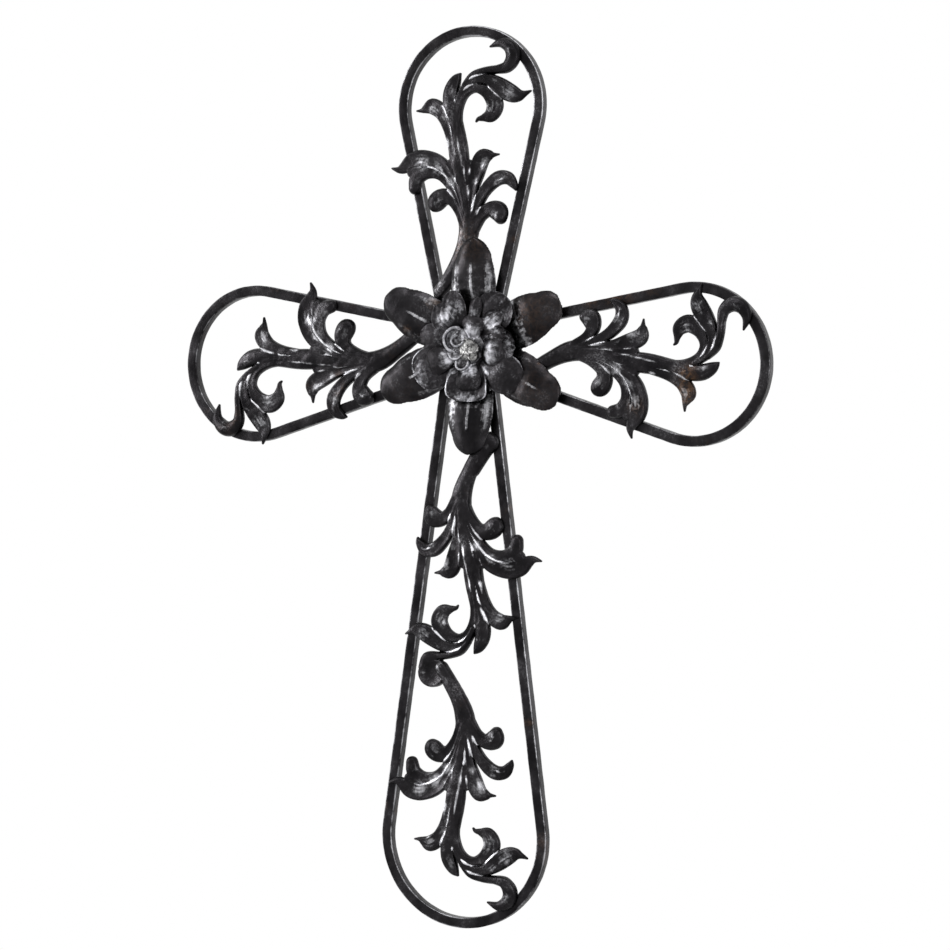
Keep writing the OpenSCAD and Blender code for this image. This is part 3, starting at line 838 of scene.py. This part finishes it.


# Outer petals: angle, length, sharpness of the tip, where its rib runs from and to, how bright
# the rib is, how bright the painted highlights on the two edges toward its foot and down the
# middle are, and how bright the foot is
OUTER = [(88.5, 97.5, 1.25, 40, 78, 0.50, 0.52, 0.15),
         (24.8, 96.0, 0.8, 40, 60, 0.0, 0.20, 0.45),
         (-28.5, 97.5, 0.85, 62, 80, 0.50, 0.22, 0.10),
         (-90.5, 95.0, 1.1, 54, 78, 0.50, 0.52, 0.25),
         (-155.0, 96.5, 0.85, 46, 68, 0.46, 0.26, 0.10),
         (151.7, 95.5, 0.75, 46, 72, 0.55, 0.30, 0.10)]
DISC_SIDES = 48
OUTER_START = 14.0
OUTER_SHEET = 1.8
OUTER_TAPER = 0.75       # how far along a petal its tip begins

# How an outer petal changes with the distance from the flower's axis: its half width, how high
# its middle stands, and how far its edges droop
OUTER_WIDTH = ((14, 24, 36, 48, 60, 70, 78), (11, 15, 19.5, 22.2, 22.2, 20.4, 17.6))
OUTER_MIDDLE = ((14, 34, 50, 66, 80, 90, 98), (1.9, 2.6, 10.6, 13.8, 13.6, 12.2, 10.4))
OUTER_DROOP = ((14, 40, 56, 80, 98), (0.3, 2.0, 6.0, 6.4, 2.6))


def outer_shell(k, theta, length, sharp, rib_from, rib_to, rib_rub, edge_highlight, foot_rub):
    def radius(s):
        return OUTER_START + (length - OUTER_START) * s

    def width(s):
        taper = 1 - ((s - OUTER_TAPER) / (1 - OUTER_TAPER)) ** 2
        tip = np.power(np.clip(taper, 0, 1), 0.5 * sharp)
        return np.interp(radius(s), *OUTER_WIDTH) * np.where(s < OUTER_TAPER, 1.0, tip)

    def height(s, v):
        r = radius(s)
        droop = np.interp(r, *OUTER_DROOP) * np.abs(v) ** 2.6
        rib = 0.55 * bell(v * width(s), 0.9) * window(r, rib_from, 8, rib_to, 8)
        ruffle = 0.35 * np.sin(v * 3 + s * 9 + k * 2.1)
        return np.maximum(np.interp(r, *OUTER_MIDDLE) - droop + rib + ruffle * np.abs(v), 1.7)

    toward = heading(math.radians(theta))
    points, faces, marks, count = shell(OUTER_START * toward, length * toward, width, height,
                                        OUTER_SHEET)
    s, v = marks[:, 0], marks[:, 1]
    r = radius(s)
    across = v * np.maximum(width(s), NARROWEST)
    line = bell(across, 0.6) * rib_rub * window(r, rib_from, 6, rib_to, 8)
    # painted highlights: a band down the middle and one along each edge, where lamps would light
    # the curved petal; with them a thin rubbed rim
    middle = bell(across, 2.6) * edge_highlight * window(r, 36, 6, rib_to + 2, 34)
    beside = bell(np.abs(v) - 0.76, 0.19) * edge_highlight * window(r, 34, 8, 90, 38)
    rim = 0.22 * ease((np.abs(v) - 0.93) / 0.07)
    blotches = 1 + 0.5 * waves(np.stack([across, r], 1), 6, 100 + k)
    foot = foot_rub * blotches * bell(r - 49, 9)
    highlights_and_rim = (np.maximum(middle, beside) + rim) * (0.45 + 0.55 * streaks(across, r, 80 + 3 * k))
    silver = np.maximum.reduce([line, highlights_and_rim, foot])
    silver[count:] = 0
    return points, faces, silver


def disc(centre, radius, low, high, dome=0.0, rub=0.0):
    """A closed round plate with its rim rounded. rub is how much silver its face has."""
    rings = [(radius * f, high + dome * (1 - f * f)) for f in (0, 0.25, 0.5, 0.75, 0.92)]
    rings += [(radius, high - 0.5), (radius, low), (radius * 0.5, low), (0.0, low)]
    points = []
    for r, h in rings:
        for k in range(DISC_SIDES):
            a = 2 * math.pi * k / DISC_SIDES
            points.append((centre[0] + r * math.cos(a), FRONT - h, centre[1] + r * math.sin(a)))
    points = np.array(points)
    silver = np.where(points[:, 1] < FRONT - high + 0.6, rub, 0.0)
    return points, tube_faces(len(rings), DISC_SIDES), silver


def fused(node, shells, material, voxel, smoothing, rusty=()):
    """The shells made into one skin by a voxel remesh, with the silver carried over, and kept in
    front of the bars. rusty is where it is brown: [x, z, radius, strength] from the axis."""
    points, faces, silver = join(shells)
    mesh = bpy.data.meshes.new(node + "_raw")
    mesh.from_pydata((points * MM).tolist(), [], faces)
    mesh.update()
    raw = add(node + "_raw", mesh)
    remesh = raw.modifiers.new("remesh", "REMESH")
    remesh.mode = "VOXEL"
    remesh.voxel_size = voxel * MM
    soften = raw.modifiers.new("soften", "SMOOTH")
    soften.factor, soften.iterations = 0.5, smoothing
    graph = bpy.context.evaluated_depsgraph_get()
    result = bpy.data.meshes.new_from_object(raw.evaluated_get(graph))
    bpy.data.objects.remove(raw)
    co = np.zeros(len(result.vertices) * 3)
    result.vertices.foreach_get("co", co)
    co = co.reshape(-1, 3)
    tree = KDTree(len(points))
    for i, p in enumerate(points * MM):
        tree.insert(p, i)
    tree.balance()
    carried = np.array([silver[tree.find(p)[1]] for p in co])
    faces = [tuple(f.vertices) for f in result.polygons]
    skin = co / MM
    skin[:, 1] = np.clip(skin[:, 1], FRONT - TOP_H, FRONT - BAR_GAP)
    rust = patches(skin[:, [0, 2]] - AXIS, rusty)
    make_piece(node, skin, faces, material, carried, rust)


outer_shells = [outer_shell(k, *row) for k, row in enumerate(OUTER)]
outer_shells.append(disc(AXIS, 36, 0.02, 2.2))
fused("outer_petals", outer_shells, petal_material, voxel=0.85, smoothing=2,
      rusty=[(62, 30, 24, 0.11), (64, -40, 22, 0.07), (6, 88, 14, 0.08), (-62, -42, 20, 0.03)])

# Middle and inner petals: base and tip, greatest half width, heights of base and tip, how far
# the petal domes, how far its rim turns up, how much its rim ruffles, how bright its rim is
# rubbed, how bright the painted highlight on its back is, how far along it that highlight lies,
# and how blunt its tip is
MIDDLE = [((-5, 8), (-17, 50), 11.0, 9.0, 15.4, 1.8, 0.6, 0.5, 0.40, 0.28, 0.60, 2.6),
          ((-8, 8), (-33, 37), 12.5, 7.5, 13.0, 1.4, 1.2, 0.6, 0.30, 0.25, 0.60, 2.2),
          ((-10, 5), (-48, 13), 12.0, 7.0, 12.2, 1.8, 0.8, 0.6, 0.20, 0.20, 0.50, 2.2),
          ((-8, -4), (-53, -26), 19.5, 7.0, 12.6, 2.2, 1.4, 0.9, 1.10, 0.25, 0.90, 2.4),
          ((0, -8), (-0.5, -48), 20.5, 8.0, 14.6, 1.2, 2.0, 1.1, 1.00, 0.40, 1.00, 4.5),
          ((8, -6), (51, -33), 18.0, 7.0, 13.4, 4.6, 0.2, 0.4, 0.55, 0.16, 0.30, 2.2),
          ((12, 0), (46, 2), 14.5, 8.0, 14.6, 1.2, 1.8, 2.2, 0.75, 0.30, 0.85, 4.0),
          ((6, 8), (37, 45), 18.5, 7.5, 13.6, 1.6, 1.8, 0.8, 0.45, 0.18, 0.80, 2.2)]
INNER = [((2, 5), (8, 30), 10.8, 11.0, 14.6, 3.2, 0.2, 0.5, 0.35, 0.75, 0.25, 2.2),
         ((-10, 13), (-24, 36), 8.0, 11.5, 15.8, 1.6, 0.8, 0.8, 0.50, 0.50, 0.65, 3.0),
         ((-11, -5), (-39, -16), 12.0, 11.0, 16.4, 4.0, 0.2, 0.3, 0.25, 0.50, 0.25, 2.2),
         ((1, -12), (3, -40), 12.4, 10.5, 16.6, 4.0, 0.2, 0.3, 0.12, 0.75, 0.18, 2.2),
         ((10, -2), (36.5, -6), 12.6, 11.0, 16.6, 3.6, 0.2, 0.3, 0.25, 0.52, 0.50, 2.2),
         ((4, 14), (10, 45), 6.2, 10.5, 15.4, 1.4, 0.7, 0.4, 0.30, 0.35, 0.50, 2.2),
         ((9, 9), (33, 32), 9.0, 10.0, 14.6, 1.4, 1.1, 1.4, 0.45, 0.50, 0.60, 2.6),
         ((8, -9), (31, -33), 4.4, 10.0, 14.4, 1.0, 0.8, 0.6, 0.60, 0.45, 0.50, 2.2),
         ((6, -12), (22, -38), 3.6, 9.5, 13.0, 0.8, 0.8, 0.6, 0.60, 0.45, 0.50, 2.2),
         ((14, 6), (38, 14), 7.5, 10.0, 14.8, 1.0, 1.2, 2.0, 0.60, 0.34, 0.60, 3.0),
         ((-6, -11), (-20, -36), 8.0, 9.5, 12.6, 1.4, 0.8, 0.6, 0.30, 0.35, 0.60, 2.2)]

CUP_WIDEST = 0.62        # how far along a cupped petal it is widest
CUP_SWELL = ((0, 0.25, 0.5, CUP_WIDEST), (0.42, 0.70, 0.95, 1.0))


def cup_shell(k, base, tip, half, low, high, dome, rim, ruffle, rim_rub, rub, highlight_at, blunt,
              sheet):
    """A cupped petal, whose values a row of MIDDLE or INNER gives. sheet is its thickness."""
    def width(s):
        closing = np.clip(s - CUP_WIDEST, 0, 1) / (1 - CUP_WIDEST)
        end = np.sqrt(np.clip(1 - closing ** blunt, 0, 1))
        return half * np.where(s < CUP_WIDEST, np.interp(s, *CUP_SWELL), end)

    def height(s, v):
        rise = low + (high - low) * ease(s / 0.55)
        bulge = dome * np.sin(math.pi * np.clip(s, 0, 1) ** 1.2) ** 0.8 * (1 - v * v)
        near_tip = ease((s - 0.84) / 0.16)
        turned = rim * np.maximum(np.abs(v) ** 5, near_tip) * ease(s / 0.4)
        sink = dome * 0.7 * near_tip
        wave = ruffle * np.sin(7 * v + 1.9 * k + 9 * s) * np.maximum(v * v, near_tip)
        return rise + bulge + turned - sink + wave * ease(s / 0.5)

    points, faces, marks, count = shell(base, tip, width, height, sheet)
    s, v = marks[:, 0], marks[:, 1]
    edge = np.maximum(ease((np.abs(v) - 0.88) / 0.12), ease((s - 0.94) / 0.06))
    edge *= 0.55 + 0.45 * np.sin(5.3 * s + 2.7 * v + 1.7 * k)
    # painted highlight: a soft bright patch on the petal's back where a lamp would catch the dome,
    # streaked like brushing
    top = bell(s - highlight_at, 0.30) * (1 - v ** 4) * rub
    length = np.linalg.norm(np.array(tip, float) - np.array(base, float))
    blotches = 1 + 0.22 * waves(np.stack([v * half, s * length], 1), 6, 90 + k)
    strokes = 0.5 + 0.5 * streaks(v * half, s * length, 120 + 3 * k)
    silver = np.maximum(edge * rim_rub, top * blotches * strokes)
    silver[count:] = 0
    return points, faces, silver


middle_shells = [cup_shell(k, *row, 1.7) for k, row in enumerate(MIDDLE)]
middle_shells.append(disc(AXIS, 24, 2.3, 8.6))
fused("middle_petals", middle_shells, brushed_material, voxel=0.65, smoothing=2)


def curl_ring(centre, radius, low, high, band, sweep, start):
    """A leaf rolled into a ring: a band on edge, highest in its middle."""
    steps = int(40 * sweep / 360) + 8
    points = []
    for k in range(steps):
        a = math.radians(start + sweep * k / (steps - 1))
        top = low + (high - low) * math.sin(math.pi * (0.12 + 0.76 * k / (steps - 1))) ** 0.5
        section = ((radius - band, low), (radius - band, top - 0.4), (radius - band * 0.5, top),
                   (radius, top - 0.4), (radius + 0.3, low))
        for r, h in section:
            points.append((centre[0] + r * math.cos(a), FRONT - h, centre[1] + r * math.sin(a)))
    around = len(section)
    faces = tube_faces(steps, around)
    faces.append(tuple(range(around)))
    faces.append(tuple(range(steps * around - 1, (steps - 1) * around - 1, -1)))
    points = np.array(points)
    return points, faces, np.where(points[:, 1] < FRONT - low - 0.5, 0.48, 0.2)


# The inner petal at the upper left is rolled into rings, and two small ones curl beside it
ROLL = AXIS + (-10.2, 6.8)
LOWER_ROLL = AXIS + (-4.3, -13.5)
SIDE_DISC = AXIS + (-11.0, -4.2)
ROLL_H = TOP_H - 8.0
inner_shells = [cup_shell(k + 11, *row, 1.6) for k, row in enumerate(INNER)]
inner_shells += [disc(AXIS, 15, 8.0, ROLL_H + 0.6, rub=0.3),
                 disc(ROLL, 11.0, ROLL_H - 3, TOP_H - 4.6, dome=0.8, rub=0.29),
                 curl_ring(ROLL, 12.0, ROLL_H - 1, TOP_H - 0.5, 2.5, 235, 75),
                 curl_ring(ROLL + (1.6, -0.6), 6.4, ROLL_H, TOP_H - 0.9, 2.0, 300, 100),
                 disc(ROLL + (1.4, -0.6), 3.4, ROLL_H, TOP_H - 3.0, dome=0.7, rub=0.30),
                 disc(SIDE_DISC, 6.2, ROLL_H - 1, TOP_H - 3.0, dome=1.0, rub=0.28),
                 curl_ring(SIDE_DISC, 7.2, ROLL_H - 1, TOP_H - 2.2, 1.3, 220, 160),
                 curl_ring(LOWER_ROLL, 7.2, ROLL_H - 1, TOP_H - 1.8, 2.0, 230, 165),
                 disc(LOWER_ROLL, 5.4, ROLL_H - 2, TOP_H - 5.0, dome=1.0, rub=0.22)]
fused("inner_petals", inner_shells, brushed_material, voxel=0.55, smoothing=1)

# The pinched heart's folds: angle, length and half width. They meet on a low dome.
HEART = np.array([0.8, -3.0])
FOLDS = [(14, 12.5, 4.4), (66, 11.5, 4.0), (118, 10, 3.8), (-40, 12, 4.0), (-96, 9, 4.0),
         (174, 8, 3.8)]
LEAST_FOLD_RUB = 0.34


def fold_shell(k, angle, length, half):
    toward = heading(math.radians(angle))
    low = TOP_H - 2.2 - 0.7 * (k % 2)
    # the folds get a painted highlight near their foot, as every cupped petal does
    points, faces, silver = cup_shell(
        31 + k, HEART + 0.4 * toward, HEART + length * toward, half, low, low - 0.9, dome=-0.7,
        rim=1.3, ruffle=0.4, rim_rub=0.95, rub=0.95, highlight_at=0.25, blunt=2.4, sheet=3.2)
    return points, faces, np.maximum(silver, LEAST_FOLD_RUB)


bud_shells = [disc(AXIS + HEART * 0.5, 9.5, TOP_H - 9.0, TOP_H - 3.4, dome=1.2, rub=0.5)]
bud_shells += [fold_shell(k, *row) for k, row in enumerate(FOLDS)]
fused("flower_bud", bud_shells, bud_material, voxel=0.4, smoothing=1)


# ---- Camera, lights and stage ----

VIEW_AZIMUTH = math.radians(25.66)
VIEW_ELEVATION = math.radians(0.758)
VIEW_ROLL = math.radians(0.545)
VIEW_DISTANCE = 3.233
LENS_MM = 138.38
SENSOR_MM = 36.0
AIM_RIGHT = 0.00671      # the aim's offset along the camera's axes, from a point on the
AIM_DOWN = 0.09847       # bars' front plane that lies AIM_START_DROP below the crossing
AIM_START_DROP = 0.01259


def view_axes():
    back = Vector((math.sin(VIEW_AZIMUTH) * math.cos(VIEW_ELEVATION),
                   -math.cos(VIEW_AZIMUTH) * math.cos(VIEW_ELEVATION),
                   math.sin(VIEW_ELEVATION)))
    level_right = (-back).cross(Vector((0, 0, 1))).normalized()
    level_up = level_right.cross(-back)
    right = math.cos(VIEW_ROLL) * level_right + math.sin(VIEW_ROLL) * level_up
    up = -math.sin(VIEW_ROLL) * level_right + math.cos(VIEW_ROLL) * level_up
    return right, up, back


def make_camera():
    right, up, back = view_axes()
    crossing = Vector((CROSSING[0] * MM, FRONT * MM, CROSSING[1] * MM - AIM_START_DROP))
    aim = crossing + AIM_RIGHT * right - AIM_DOWN * up
    data = bpy.data.cameras.new("camera")
    data.lens, data.sensor_width = LENS_MM, SENSOR_MM
    data.clip_start, data.clip_end = 0.05, 50.0
    camera = add("camera", data)
    turn = Matrix((right, up, back)).transposed().to_4x4()
    camera.matrix_world = Matrix.Translation(aim + VIEW_DISTANCE * back) @ turn
    bpy.context.scene.camera = camera


def softbox(name, azimuth, elevation, distance, size, watts):
    """An area lamp aimed at the cross, azimuth degrees round from its front."""
    a, e = math.radians(azimuth), math.radians(elevation)
    middle = (CAD_BOX[0] + CAD_BOX[1]) / 2
    toward = Vector((math.sin(a) * math.cos(e), -math.cos(a) * math.cos(e), math.sin(e)))
    data = bpy.data.lights.new(name, "AREA")
    data.shape = "RECTANGLE"
    data.size, data.size_y = size
    data.energy = watts
    lamp = add(name, data)
    lamp.location = middle + toward * distance
    lamp.rotation_mode = "QUATERNION"
    lamp.rotation_quaternion = toward.to_track_quat("Z", "Y")


def make_world(ambient):
    """Lights the part with ambient, and is white to the camera and in reflections."""
    world = bpy.data.worlds.new("studio")
    bpy.context.scene.world = world
    n = Nodes(world)
    background = n.tree.nodes["Background"]
    put(background, Color=(1, 1, 1, 1))
    path = n.new("ShaderNodeLightPath").outputs
    seen = n.math("MAXIMUM", path["Is Camera Ray"], path["Is Transmission Ray"])
    seen = n.math("MAXIMUM", seen, path["Is Glossy Ray"])
    strength = n.new("ShaderNodeMapRange")
    put(strength, To_Min=ambient, To_Max=1.0)
    n.link(seen, strength.inputs["Value"])
    n.link(strength.outputs["Result"], background.inputs["Strength"])


FLOOR_DROP = 0.13
FLOOR_HALF = 0.42


def make_floor():
    z = CAD_BOX[0].z - FLOOR_DROP
    h = FLOOR_HALF
    mesh = bpy.data.meshes.new("floor")
    mesh.from_pydata([(-h, -h, z), (h, -h, z), (h, h, z), (-h, h, z)], [], [(0, 1, 2, 3)])
    material = bpy.data.materials.new("floor")
    shader = Nodes(material).tree.nodes["Principled BSDF"]
    put(shader, Base_Color=(0.86, 0.86, 0.86, 1), Roughness=0.8)
    mesh.materials.append(material)
    floor = add("floor", mesh)


make_camera()
make_world(0.25)
make_floor()
softbox("left_side", -62, 12, 2.2, (0.5, 1.4), 42)
softbox("right_front", 60, 10, 2.3, (0.4, 1.4), 18)
softbox("top", 5, 58, 2.0, (1.2, 0.4), 18)
softbox("right_back", 140, 14, 2.3, (1.0, 1.6), 7)
bpy.context.scene.view_settings.view_transform = "Standard"
